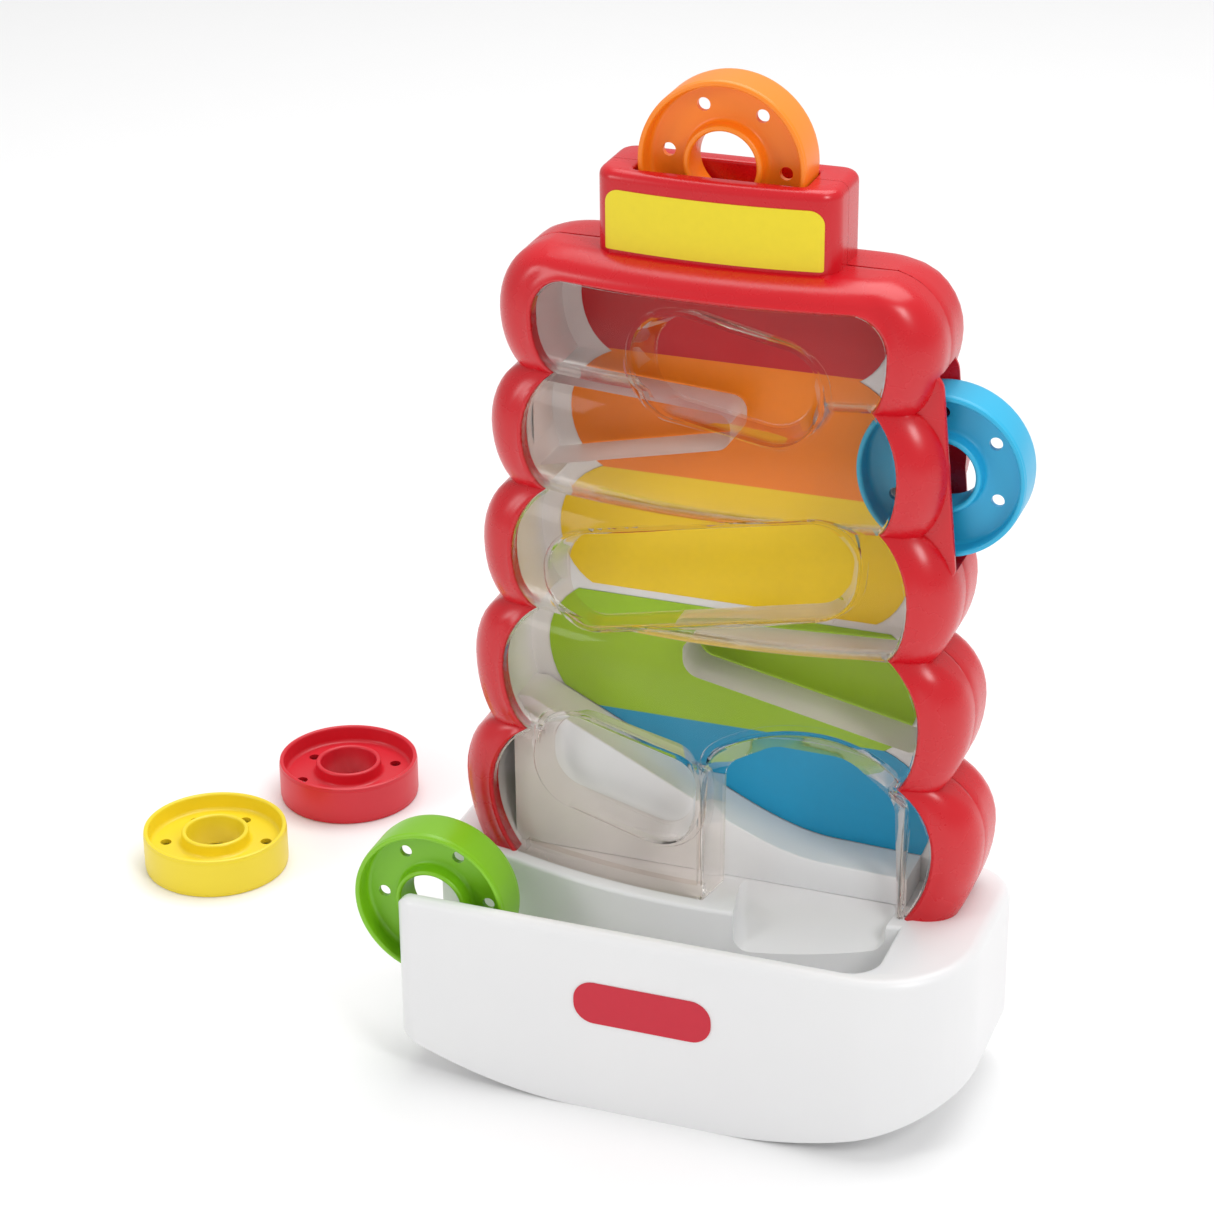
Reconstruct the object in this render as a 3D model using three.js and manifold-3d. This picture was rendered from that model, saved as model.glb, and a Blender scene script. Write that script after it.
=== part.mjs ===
// A stacking ring toy: a red five-lobed tower with a clear front window stands on a white rocker base.
// Rings go in at the top slot or the side slot, roll down ramps and come out along a channel in the base.
// Millimetres, +Z up. x = 0 is the tower's centre line, y = 0 the plane where its two shells meet,
// and z = 0 the flat middle of the base's underside. The front is towards -Y.
import * as THREE from "three";
import { mergeVertices } from "three/addons/utils/BufferGeometryUtils.js";
import Module from "manifold-3d";

const wasm = await Module();
wasm.setup();

// ---- driving dimensions -------------------------------------------------------------------------
const gap = 0.3; // clearance between parts that rest on each other
const wall = 2.5; // moulded wall of the shells, ramps and rings

const ring = { r: 35, width: 20, bore: 14, hub: 16.6, web: 2.4, holes: 6, holeCircle: 24.5, holeR: 2.75 };

const seat = 88; // the deck of the base, on which the tower stands
const shoulder = 369; // top of the highest lobe
const capTop = 403;
// One row a lobe from the bottom up: height of its widest point, half width there, and the height
// and half widths (outer edge, window edge) of the groove above it.
const lobes = [
  { mid: 120, half: 116.5, groove: 148.6, grooveHalf: 99.5, windowMid: 98.5, windowGroove: 82.3 },
  { mid: 179, half: 110, groove: 207.3, grooveHalf: 94, windowMid: 91.5, windowGroove: 76.8 },
  { mid: 234.6, half: 104, groove: 262.8, grooveHalf: 88.5, windowMid: 85.5, windowGroove: 71.6 },
  { mid: 289, half: 99, groove: 315.2, grooveHalf: 84, windowMid: 79.8, windowGroove: 67.2 },
  { mid: 340, half: 94, groove: shoulder, grooveHalf: 71, windowMid: 74.5, windowGroove: 60 },
];
const seatHalf = 108; // half width of the lowest lobe where it stands on the deck
const windowSeatHalf = 88;
const windowTop = 358;
const windowTopRound = 16;
const plan = { bow: 580, grooveFront: 20, puff: 6.5, cornerX: 16, grooveCornerY: 6.4, cornerY: 20, back: 25,
  backPuff: 6, backCornerY: 14 };

const cap = { half: 50.5, front: 15, back: 21, bow: 4.5, round: 8 };
const slot = { half: 36, y: 11 }; // top slot, and the half width of the side slot
const sideSlot = { bottom: 247, top: 331.6, outerTop: 94, outerBottom: 102.5, cheek: 2.2, inner: 66 };

const base = { left: -124.5, right: 124.5, front: -76, back: 37, wall: 3, deck: 3 };
const corner = { frontLeft: 10, frontRight: 45, backRight: 22, backLeft: 12 };
const rocker = { centre: -8, flat: 30, r: 190 };
const channel = { frontWall: 7, floorLeft: 44, floorRight: 58, right: 88 };
const chute = { left: 14, right: 84, rear: -11.4, mid: -46, midZ: 66 };
const plinthFront = -41; // the plinth's front edge on the centre line

const panel = { y: 12, thickness: 2 };
const track = 11; // half the width of a ring's track between the window and the back panel
const tubDepth = -15; // how far back the window's finger holes reach
const clear = { skin: 2, setback: 0.8 }; // window thickness, and how far it lies below the frame

const screw = { shaft: 1.5, head: 3, headHeight: 2, length: 14, boss: 4.5 };

const colour = {
  red: 0xd81f30, clear: 0xe9e4e2, white: 0xf2f2f2, yellow: 0xf4dc1c,
  orange: 0xf58220, green: 0x7fbf17, blue: 0x2fb4dc, steel: 0xb9bcc0,
};
const up = new THREE.Vector3(0, 0, 1);

// ---- working with solids ------------------------------------------------------------------------
const solid = (geometry) => {
  const g = geometry.clone();
  g.deleteAttribute("normal");
  g.deleteAttribute("uv");
  const merged = mergeVertices(g, 1e-3);
  return new wasm.Manifold(new wasm.Mesh({
    numProp: 3,
    vertProperties: merged.attributes.position.array,
    triVerts: new Uint32Array(merged.index.array),
  }));
};

const toy = new THREE.Group();
const addNode = (name, shape, color, look = {}) => {
  const mesh = shape.getMesh();
  const geometry = new THREE.BufferGeometry();
  geometry.setAttribute("position", new THREE.BufferAttribute(new Float32Array(mesh.vertProperties), 3));
  geometry.setIndex(new THREE.BufferAttribute(new Uint32Array(mesh.triVerts), 1));
  geometry.computeVertexNormals();
  const material = new THREE.MeshStandardMaterial({ color, roughness: 0.35, metalness: 0, ...look });
  const node = new THREE.Mesh(geometry, material);
  node.name = name;
  toy.add(node);
};

const box = (x0, x1, y0, y1, z0, z1) => solid(new THREE.BoxGeometry(x1 - x0, y1 - y0, z1 - z0)
  .translate((x0 + x1) / 2, (y0 + y1) / 2, (z0 + z1) / 2));

// An outline in the XZ plane, made solid from y0 back to y1.
const slab = (outline, y0, y1, curveSegments = 6) => solid(
  new THREE.ExtrudeGeometry(outline, { depth: y1 - y0, bevelEnabled: false, curveSegments })
    .rotateX(Math.PI / 2).translate(0, y1, 0));

// An outline in the XY plane, made solid from z0 up to z1.
const prism = (outline, z0, z1, curveSegments = 8) => solid(
  new THREE.ExtrudeGeometry(outline, { depth: z1 - z0, bevelEnabled: false, curveSegments })
    .translate(0, 0, z0));

// A round bar along Y.
const bar = (x, z, r, y0, y1, sides = 16) => solid(
  new THREE.CylinderGeometry(r, r, y1 - y0, sides).translate(x, (y0 + y1) / 2, z));

const roundedPolygon = (points, radii) => {
  const shape = new THREE.Shape();
  const corners = points.map(([x, y]) => new THREE.Vector2(x, y));
  corners.forEach((p, i) => {
    const before = corners.at(i - 1);
    const after = corners[(i + 1) % corners.length];
    const r = Array.isArray(radii) ? radii[i] : radii;
    const a = before.clone().sub(p).normalize();
    const b = after.clone().sub(p).normalize();
    const cut = r / Math.tan(Math.acos(THREE.MathUtils.clamp(a.dot(b), -1, 1)) / 2);
    const from = p.clone().addScaledVector(a, cut);
    const to = p.clone().addScaledVector(b, cut);
    if (i === 0) shape.moveTo(from.x, from.y);
    else shape.lineTo(from.x, from.y);
    const control = 0.45; // pulls the quadratic corner close to a true arc
    const c1 = from.clone().lerp(p, 1 - control);
    const c2 = to.clone().lerp(p, 1 - control);
    shape.bezierCurveTo(c1.x, c1.y, c2.x, c2.y, to.x, to.y);
  });
  shape.closePath();
  return shape;
};

// ---- the lobed tower ----------------------------------------------------------------------------
const rows = 3; // sections between a lobe's groove and its widest point
const edge = 3; // steps round each corner of a section
const face = 3; // steps from a corner to the centre line

const rounded = (t) => Math.sqrt(Math.max(0, 1 - t * t));

// Half width, front depth, puff and corner size of the tower's section at a height.
const sectionAt = (index, t) => {
  // t runs from -1 at the lobe's lower groove, through 0 at its widest point, to 1 at its upper groove
  const lobe = lobes[index];
  const below = lobes[index - 1];
  const low = below ? below.groove : seat;
  const lowHalf = below ? below.grooveHalf : seatHalf;
  const lowWindow = below ? below.windowGroove : windowSeatHalf;
  const endZ = t < 0 ? low : lobe.groove;
  const endHalf = t < 0 ? lowHalf : lobe.grooveHalf;
  const endWindow = t < 0 ? lowWindow : lobe.windowGroove;
  const stands = t < 0 && !below; // the lowest lobe is cut off by the deck before its groove
  const end = stands ? 0.55 : 0.92;
  const k = Math.sin(Math.abs(t) * Math.asin(end));
  const fullness = (rounded(k) - rounded(end)) / (1 - rounded(end));
  const puffed = stands ? 0.5 + 0.5 * fullness : fullness;
  return {
    z: lobe.mid + (endZ - lobe.mid) * (k / end),
    half: endHalf + (lobe.half - endHalf) * fullness,
    windowHalf: endWindow + (lobe.windowMid - endWindow) * fullness,
    puff: puffed,
  };
};

const sections = [];
lobes.forEach((lobe, index) => {
  for (let i = -rows; i <= rows; i += 1) {
    if (i > -rows || index === 0) sections.push(sectionAt(index, i / rows));
  }
});

// The point k of a section's outline, counted round from +X through the back (+Y).
const quarter = 1 + edge + face;
const around = 4 * quarter;
const outlinePoint = (section, k, inset) => {
  const q = Math.floor(k / quarter);
  const step = q % 2 === 0 ? k % quarter : quarter - (k % quarter);
  const sideX = q === 0 || q === 3 ? 1 : -1;
  const front = q >= 2;
  const grooveHalf = Math.min(section.windowHalf, 84);
  const depthAt = (x) => (front
    ? plan.grooveFront + plan.puff * section.puff + (grooveHalf ** 2 - x ** 2) / plan.bow
    : plan.back + plan.backPuff * section.puff) - inset;
  const half = section.half - inset;
  const cornerX = plan.cornerX;
  const innerX = half - cornerX;
  const wanted = front ? plan.grooveCornerY + (plan.cornerY - plan.grooveCornerY) * section.puff : plan.backCornerY;
  const cornerY = Math.min(wanted, depthAt(innerX) - 2);
  if (step === 0) return [sideX * half, 0];
  if (step <= edge + 1) {
    const angle = ((step - 1) / edge) * (Math.PI / 2);
    const y = depthAt(innerX) - cornerY + cornerY * Math.sin(angle);
    return [sideX * (innerX + cornerX * Math.cos(angle)), front ? -y : y];
  }
  const x = innerX * (1 - (step - 1 - edge) / face);
  return [sideX * x, front ? -depthAt(x) : depthAt(x)];
};

// The tower's outer form, drawn in by an inset, as a cylinder whose points are moved out to the lobes.
const lobedForm = (inset, low, high) => {
  const count = sections.length - 1;
  const g = new THREE.CylinderGeometry(1, 1, 1, around, count).rotateX(Math.PI / 2);
  const p = g.attributes.position;
  for (let i = 0; i < p.count; i += 1) {
    const row = Math.round((p.getZ(i) + 0.5) * count);
    const onAxis = Math.hypot(p.getX(i), p.getY(i)) < 0.5;
    const turn = Math.atan2(p.getY(i), p.getX(i)) / (2 * Math.PI);
    const k = Math.round((turn < -1e-6 ? turn + 1 : turn) * around) % around;
    const [x, y] = onAxis ? [0, 0] : outlinePoint(sections[row], k, inset);
    const z = row === 0 ? low : row === count ? high : Math.min(sections[row].z, high - 0.1 * (count - row));
    p.setXYZ(i, x, y, z);
  }
  return solid(g);
};

const scalloped = (grow) => {
  // the window opening: a scalloped outline, symmetric about the centre line, open at the deck
  const right = sections.filter((s) => s.z < windowTop - windowTopRound)
    .map((s) => [s.windowHalf + grow, s.z]);
  const shape = new THREE.Shape();
  shape.moveTo(right[0][0], seat - 10);
  right.forEach(([x, z]) => shape.lineTo(x, z));
  const [topX] = right.at(-1);
  shape.quadraticCurveTo(topX - 2, windowTop + grow, topX - windowTopRound, windowTop + grow);
  shape.lineTo(-topX + windowTopRound, windowTop + grow);
  shape.quadraticCurveTo(-topX + 2, windowTop + grow, -topX, right.at(-1)[1]);
  right.toReversed().forEach(([x, z]) => shape.lineTo(-x, z));
  shape.lineTo(-right[0][0], seat - 10);
  shape.closePath();
  return shape;
};

const bossPlaces = [0, 2, 4].flatMap((i) => [-1, 1].map((side) => [
  side * (lobes[i].half - 11.5), lobes[i].mid + (i === 4 ? 2 : 0),
]));

const capOutline = (grow) => {
  const half = cap.half + grow;
  const front = -(cap.front + grow);
  const back = cap.back + grow;
  const shape = new THREE.Shape();
  shape.moveTo(-half + cap.round, front);
  shape.quadraticCurveTo(0, front - 2 * cap.bow, half - cap.round, front);
  shape.quadraticCurveTo(half, front, half, front + cap.round);
  shape.lineTo(half, back - cap.round);
  shape.quadraticCurveTo(half, back, half - cap.round, back);
  shape.lineTo(-half + cap.round, back);
  shape.quadraticCurveTo(-half, back, -half, back - cap.round);
  shape.lineTo(-half, front + cap.round);
  shape.quadraticCurveTo(-half, front, -half + cap.round, front);
  return shape;
};

const sideSlotOutline = (grow) => new THREE.Shape([
  [sideSlot.inner, sideSlot.bottom - grow], [sideSlot.outerBottom + (grow ? 0 : 20), sideSlot.bottom - grow],
  [sideSlot.outerTop + (grow ? 0 : 20), sideSlot.top + grow], [sideSlot.inner, sideSlot.top + grow],
].map(([x, z]) => new THREE.Vector2(x, z)));

const towerShell = () => {
  const outer = lobedForm(0, seat, shoulder)
    .add(prism(capOutline(0), shoulder - 12, capTop))
    .add(slab(sideSlotOutline(2), -slot.y - sideSlot.cheek, slot.y + sideSlot.cheek));
  const endPocket = slot.half + wall;
  return outer
    .subtract(lobedForm(wall, seat - 5, shoulder - wall))
    .subtract(slab(sideSlotOutline(0), -slot.y, slot.y))
    .subtract(box(-slot.half, slot.half, -slot.y, slot.y, shoulder - 10, capTop + 1))
    .subtract(box(endPocket, cap.half - wall, -cap.front + wall, cap.back - wall, shoulder - 6, capTop - wall))
    .subtract(box(-cap.half + wall, -endPocket, -cap.front + wall, cap.back - wall, shoulder - 6, capTop - wall));
};

// Snap tabs under the shells, which pass through the deck; side is -1 for the front shell, 1 for the back one.
const snap = { x: 102.5, halfWidth: 5, near: 6, far: 12, below: 9, above: 3 };
const tab = (x, side, grow = 0) => {
  const [y0, y1] = side > 0 ? [snap.near, snap.far] : [-snap.far, -snap.near];
  const half = snap.halfWidth + grow;
  return box(x - half, x + half, y0 - grow, y1 + grow, seat - snap.below, seat + snap.above);
};

const makeShells = (whole) => {
  const big = 300;
  const inside = lobedForm(1, seat + 1, shoulder - 1);
  const bosses = bossPlaces.map(([x, z]) => bar(x, z, screw.boss, -40, 40)
    .intersect(inside));
  let front = whole.intersect(box(-big, big, -big, -gap / 2, 0, 2 * big));
  let back = whole.intersect(box(-big, big, gap / 2, big, 0, 2 * big));
  front = front.subtract(slab(scalloped(0), -80, -6));
  bosses.forEach((boss, i) => {
    const [x, z] = bossPlaces[i];
    front = front.add(boss.intersect(box(-big, big, -big, -gap / 2, 0, big * 2)))
      .subtract(bar(x, z, screw.shaft + gap, -screw.length + 6, 5));
    back = back.add(boss.intersect(box(-big, big, gap / 2, big, 0, big * 2)))
      .subtract(bar(x, z, screw.shaft + gap, -5, 40))
      .subtract(bar(x, z, screw.head + gap, 7, 40));
  });
  [-snap.x, snap.x].forEach((x) => {
    front = front.add(tab(x, -1));
    back = back.add(tab(x, 1));
  });
  addNode("front_shell", front, colour.red);
  addNode("back_shell", back, colour.red);
};

const makeScrew = (name, x, z) => {
  const profile = [[0, 0], [screw.head, 0], [screw.head, screw.headHeight], [screw.shaft, screw.headHeight],
    [screw.shaft, screw.length], [0, screw.length + 1]].map(([r, y]) => new THREE.Vector2(r, y));
  const g = new THREE.LatheGeometry(profile, 10).scale(1, -1, 1);
  g.index.array.reverse();
  addNode(name, solid(g.translate(x, 7 + gap + screw.headHeight, z)), colour.steel, { metalness: 0.9 });
};

// ---- window with finger holes -------------------------------------------------------------------
const fingerHoles = [
  { points: [[-23.5, 351], [43, 336], [42.5, 301], [-23.5, 313]], radii: [16, 16, 16, 16] },
  { points: [[-63, 243.5], [60, 264.5], [59.5, 230], [-62, 204.5]], radii: [15, 15, 15, 15] },
  { points: [[-71, 163], [-8, 148], [-8, 109.5], [-71, 126.5]], radii: [16, 10, 12, 16] },
];
const tubSpread = 1.3; // how much of the wall the tub's corners move out by

const archOutline = (grow) => {
  const left = 6 - grow;
  const right = 84 + grow;
  const shape = new THREE.Shape();
  shape.moveTo(left, seat - 12);
  shape.lineTo(left, 130);
  shape.bezierCurveTo(left + 6, 152 + grow, 24, 157 + grow, 38, 157 + grow);
  shape.bezierCurveTo(58, 157 + grow, 74, 150 + grow, right - 2, 140);
  shape.lineTo(right, seat - 12);
  shape.closePath();
  return shape;
};

const makeWindow = () => {
  const outside = lobedForm(clear.setback, seat + gap, shoulder - 6);
  const skin = outside.subtract(lobedForm(clear.setback + clear.skin, seat - 5, shoulder - 8));
  let window = skin.intersect(slab(scalloped(-gap), -80, -8));
  const hollow = fingerHoles.map(({ points, radii }) => slab(roundedPolygon(points, radii), -80, 0));
  const tubs = fingerHoles.map(({ points, radii }) => {
    const centre = points.reduce((sum, [x, z]) => [sum[0] + x / points.length, sum[1] + z / points.length], [0, 0]);
    const outwards = points.map(([x, z]) => {
      const length = Math.hypot(x - centre[0], z - centre[1]);
      const out = (clear.skin * tubSpread) / length;
      return [x + (x - centre[0]) * out, z + (z - centre[1]) * out];
    });
    return slab(roundedPolygon(outwards, radii.map((r) => r + clear.skin)), -60, tubDepth).intersect(outside);
  });
  const arch = slab(archOutline(clear.skin), -60, tubDepth).intersect(outside);
  window = tubs.reduce((sum, tub) => sum.add(tub), window).add(arch);
  window = hollow.reduce((sum, hole) => sum.subtract(hole), window).subtract(slab(archOutline(0), -80, 0));
  addNode("front_window", window, colour.clear, { transparent: true, opacity: 0.4, roughness: 0.1 });
};

// ---- inside: panel, ramps, slide and labels -----------------------------------------------------
const innerForm = lobedForm(wall + 0.5, seat + gap, shoulder - wall - 0.5);

const makeBackPanel = () => {
  const y0 = panel.y;
  let sheet = innerForm.intersect(box(-150, 150, y0, y0 + panel.thickness, 0, 500));
  bossPlaces.forEach(([x, z]) => {
    sheet = sheet.subtract(bar(x, z, screw.boss + 0.5, 0, 40));
  });
  sheet = sheet.subtract(box(sideSlot.outerTop - 3, 130, 0, 40, sideSlot.bottom - 3, sideSlot.top + 3));
  addNode("back_panel", sheet, colour.white);
};

// A ramp is a closed loop of wall, wedge shaped, with a round nose over the gap that the rings drop through.
const makeRamp = (name, points, radii) => {
  const outer = slab(roundedPolygon(points, radii), -track, track - gap);
  const centre = points.reduce((sum, [x, z]) => [sum[0] + x / points.length, sum[1] + z / points.length], [0, 0]);
  const width = Math.max(...points.map(([x]) => x)) - Math.min(...points.map(([x]) => x));
  const inner = slab(roundedPolygon(points, radii), -50, 50)
    .translate([-centre[0], 0, -centre[1]])
    .scale([1 - (2 * wall) / width, 1, 1 - (2 * wall) / 26])
    .translate([centre[0], 0, centre[1]]);
  addNode(name, outer.subtract(inner), colour.white);
};

const slideTop = () => {
  const shape = new THREE.Shape();
  shape.moveTo(-92, seat + gap);
  shape.lineTo(-92, 160);
  shape.lineTo(-84, 160);
  shape.lineTo(0, 118);
  shape.quadraticCurveTo(28, 103.5, 46, 102.5);
  shape.lineTo(86, 101);
  shape.lineTo(86, seat + gap);
  shape.closePath();
  return shape;
};

const makeExitSlide = () => {
  const block = slab(slideTop(), -track, track - gap).intersect(innerForm);
  const pocket = slab(slideTop(), -track + wall, 30).translate([0, 0, -wall])
    .intersect(box(-88, 83, -50, 50, 0, 200));
  addNode("exit_slide", block.subtract(pocket), colour.white);
};

const labelThickness = 0.3;
const makeLabel = (name, low, high, color) => {
  // scalloped like the tower, and cut off above the slide
  const y1 = panel.y - 0.2;
  const scallops = sections.filter((s) => s.z > low && s.z < high).map((s) => [s.windowHalf - 14 + 6 * s.puff, s.z]);
  const ends = [[scallops[0][0], low], ...scallops, [scallops.at(-1)[0], high]];
  const outline = new THREE.Shape([...ends, ...ends.map(([x, z]) => [-x, z]).reverse()]
    .map(([x, z]) => new THREE.Vector2(x, z)));
  let sheet = slab(outline, y1 - labelThickness, y1);
  sheet = sheet.subtract(slab(slideTop(), 0, 40)).subtract(box(-150, -84, 0, 40, 0, 160));
  addNode(name, sheet, color);
};

const makeCapLabel = () => {
  const skin = prism(capOutline(0.5), shoulder - 20, capTop).subtract(prism(capOutline(0.2), shoulder - 30, capTop + 9));
  const outline = roundedPolygon([[-45.5, 370.5], [45.5, 370.5], [45.5, 395.5], [-45.5, 395.5]], [0.5, 0.5, 5, 5]);
  addNode("cap_label", skin.intersect(slab(outline, -60, -5)), colour.yellow);
};

// ---- base ---------------------------------------------------------------------------------------
const baseOutline = (inset) => {
  const { left, right, front, back } = base;
  const l = left + inset, r = right - inset, f = front + inset, b = back - inset;
  const round = [corner.frontLeft, corner.frontRight, corner.backRight, corner.backLeft].map((c) => c - inset);
  return roundedPolygon([[l, f], [r, f], [r, b], [l, b]], round);
};

const rockerUnder = (rise) => {
  // everything below the rocker's curve, raised by a plate's thickness
  const reach = 150;
  const shape = new THREE.Shape();
  shape.moveTo(-reach, -60);
  const steps = 8;
  for (let i = -steps; i <= steps; i += 1) {
    const t = (Math.abs(i) - 1) / (steps - 1);
    const x = i === 0 ? 0 : Math.sign(i) * (rocker.flat + t * (reach - rocker.flat));
    const away = Math.max(0, Math.abs(x) - rocker.flat);
    shape.lineTo(rocker.centre + x, rise + away ** 2 / (2 * rocker.r));
  }
  shape.lineTo(reach, -60);
  shape.closePath();
  return slab(shape, -200, 200);
};

const plinthCurve = (shape, offset, from, to) => {
  const steps = 8;
  for (let i = 0; i <= steps; i += 1) {
    const x = from + ((to - from) * i) / steps;
    shape.lineTo(x, plinthFront - offset + x ** 2 / plan.bow);
  }
};

const channelSpace = (grow) => {
  // between the front wall and the plinth, over a floor that falls to the left
  const front = base.front + channel.frontWall - grow;
  const right = channel.right + grow;
  const planShape = new THREE.Shape();
  planShape.moveTo(base.left - 40, front);
  planShape.lineTo(right - 12, front);
  planShape.quadraticCurveTo(right, front, right, front + 12);
  plinthCurve(planShape, -grow, right, base.left - 2);
  planShape.lineTo(base.left - 40, -22 + grow);
  planShape.closePath();
  const slope = (channel.floorRight - channel.floorLeft) / (channel.right - base.left);
  const floorAt = (x) => channel.floorLeft + slope * (x - base.left) - grow;
  const above = new THREE.Shape([[base.left - 50, floorAt(base.left - 50)], [right + 10, floorAt(right + 10)],
    [right + 10, seat + 40], [base.left - 50, seat + 40]].map(([x, z]) => new THREE.Vector2(x, z)));
  return prism(planShape, 0, seat + 30).intersect(slab(above, -120, 20));
};

const chuteSpace = (grow) => {
  // a slope that tips a ring forward from the exit into the channel
  const profile = new THREE.Shape([[chute.rear + grow, seat + 30], [chute.rear + grow, seat - grow],
    [chute.mid, chute.midZ - grow], [base.front + channel.frontWall - grow, channel.floorRight - grow],
    [base.front + channel.frontWall - grow, seat + 30]].map(([y, z]) => new THREE.Vector2(y, z)));
  const depth = chute.right - chute.left + 2 * grow;
  const g = new THREE.ExtrudeGeometry(profile, { depth, bevelEnabled: false });
  const basis = new THREE.Matrix4().makeBasis(new THREE.Vector3(0, 1, 0), up, new THREE.Vector3(1, 0, 0));
  return solid(g.applyMatrix4(basis).translate(chute.left - grow, 0, 0));
};

// Posts under the deck, and the screws that hold the bottom plate to them.
const basePosts = [[-98, 24], [98, 24], [-70, -4], [70, 20]];
const post = { r: 5, pilot: 1.8, screw: 1.5, length: 14, sunk: 0.6, plate: 2.8 };
const upright = (x, y, r, z0, z1, sides = 12) => solid(
  new THREE.CylinderGeometry(r, r, z1 - z0, sides).rotateX(Math.PI / 2).translate(x, y, (z0 + z1) / 2));

const makeBase = () => {
  const block = prism(baseOutline(0), -1, seat, 12);
  const cavity = prism(baseOutline(base.wall), -60, seat - base.deck, 12)
    .subtract(channelSpace(base.wall)).subtract(chuteSpace(base.wall));
  let shell = block.subtract(rockerUnder(0)).subtract(cavity).subtract(channelSpace(0)).subtract(chuteSpace(0));
  basePosts.forEach(([x, y]) => {
    const column = upright(x, y, post.r, 0, seat - 1, 16).subtract(rockerUnder(post.plate + gap));
    shell = shell.add(column).subtract(upright(x, y, post.pilot, 0, seat / 2));
  });
  [-snap.x, snap.x].forEach((x) => {
    shell = shell.subtract(tab(x, -1, gap)).subtract(tab(x, 1, gap));
  });
  addNode("base_shell", shell, colour.white);

  let plate = prism(baseOutline(base.wall + gap), -2, seat, 12).subtract(rockerUnder(0))
    .intersect(rockerUnder(post.plate));
  basePosts.forEach(([x, y]) => {
    plate = plate.subtract(upright(x, y, post.pilot, -20, seat));
  });
  addNode("base_bottom_plate", plate, colour.white);
};

const makeBaseScrew = (name, x, y) => {
  const away = Math.max(0, Math.abs(x - rocker.centre) - rocker.flat);
  const under = away ** 2 / (2 * rocker.r);
  const profile = [[0, 0], [post.screw, 0], [post.screw, post.length - 1], [0, post.length]]
    .map(([r, z]) => new THREE.Vector2(r, z));
  const g = new THREE.LatheGeometry(profile, 10).rotateX(Math.PI / 2).translate(x, y, under + post.sunk);
  addNode(name, solid(g), colour.steel, { metalness: 0.9 });
};

const makeBadge = () => {
  const outline = roundedPolygon([[-41, 44], [20.5, 44], [20.5, 64], [-41, 64]], 9);
  addNode("base_badge", slab(outline, base.front - 0.5, base.front - 0.2), colour.red);
};

// ---- rings --------------------------------------------------------------------------------------
const ringForm = (turn) => {
  // rim, web and hub as one closed profile round the Y axis; the web is at mid depth
  const h = ring.width / 2;
  const w = ring.web / 2;
  const rimIn = ring.r - wall;
  const hubTop = h - 2;
  const soft = 1.2;
  const profile = [
    [ring.bore, -hubTop], [ring.hub, -hubTop], [ring.hub, -w], [rimIn, -w], [rimIn, -h], [ring.r - soft, -h],
    [ring.r, -h + soft], [ring.r, h - soft], [ring.r - soft, h], [rimIn, h], [rimIn, w], [ring.hub, w],
    [ring.hub, hubTop], [ring.bore, hubTop], [ring.bore, -hubTop],
  ].map(([r, y]) => new THREE.Vector2(r, y));
  let form = solid(new THREE.LatheGeometry(profile, 28));
  for (let i = 0; i < ring.holes; i += 1) {
    const a = turn + (i * 2 * Math.PI) / ring.holes;
    form = form.subtract(bar(ring.holeCircle * Math.cos(a), ring.holeCircle * Math.sin(a), ring.holeR, -5, 5, 6));
  }
  return form;
};

const makeRing = (name, color, turn, place, lying = false) => {
  const form = ringForm(THREE.MathUtils.degToRad(turn));
  addNode(name, (lying ? form.rotate([90, 0, 0]) : form).translate(place), color);
};

// ---- assembly -----------------------------------------------------------------------------------
makeShells(towerShell());
makeWindow();
makeBackPanel();
makeRamp("upper_ramp", [[-80, 308.3], [6, 302.7], [6, 288], [-80, 269]], [1.5, 7.5, 7, 1.5]);
makeRamp("lower_ramp", [[88, 203], [-14.5, 197.5], [-14.5, 183], [88, 161.5]], [1.5, 2.5, 8, 1.5]);
makeExitSlide();
makeLabel("upper_label", 207.5, 350, colour.yellow);
makeLabel("lower_label", seat + 10, 203.8, colour.green);
makeCapLabel();
makeBase();
makeBadge();
bossPlaces.forEach(([x, z], i) => makeScrew(`shell_screw_${i + 1}`, x, z));
basePosts.forEach(([x, y], i) => makeBaseScrew(`base_screw_${i + 1}`, x, y));
makeRing("orange_ring", colour.orange, -6, [0.8, 0, 406.7]);
makeRing("blue_ring", colour.blue, 34, [93.6, 0, 287.6]);
makeRing("green_ring", colour.green, 3.5, [-111.2, -56.5, 80.2]);
makeRing("yellow_ring", colour.yellow, 40, [-281, 62, ring.width / 2], true);
makeRing("red_ring", colour.red, 20, [-249, 149, ring.width / 2], true);

export default toy;
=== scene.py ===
# A stacking ring toy: a red lobed tower with a clear front window, on a white rocker base, with five rings.
import math

import bmesh
import bpy
from mathutils import Matrix, Vector


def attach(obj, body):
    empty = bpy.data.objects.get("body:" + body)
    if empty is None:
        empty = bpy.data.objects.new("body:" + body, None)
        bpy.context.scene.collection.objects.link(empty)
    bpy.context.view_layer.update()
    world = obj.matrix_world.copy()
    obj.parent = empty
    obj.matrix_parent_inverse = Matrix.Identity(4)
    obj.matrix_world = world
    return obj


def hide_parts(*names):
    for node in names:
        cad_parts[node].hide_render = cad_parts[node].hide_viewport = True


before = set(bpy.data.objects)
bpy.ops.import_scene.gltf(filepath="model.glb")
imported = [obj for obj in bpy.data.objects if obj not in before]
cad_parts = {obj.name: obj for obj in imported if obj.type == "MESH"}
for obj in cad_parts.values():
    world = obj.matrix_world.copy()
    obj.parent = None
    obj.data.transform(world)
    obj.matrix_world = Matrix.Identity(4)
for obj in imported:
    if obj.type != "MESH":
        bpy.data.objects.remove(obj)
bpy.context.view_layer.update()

scene = bpy.context.scene

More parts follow.
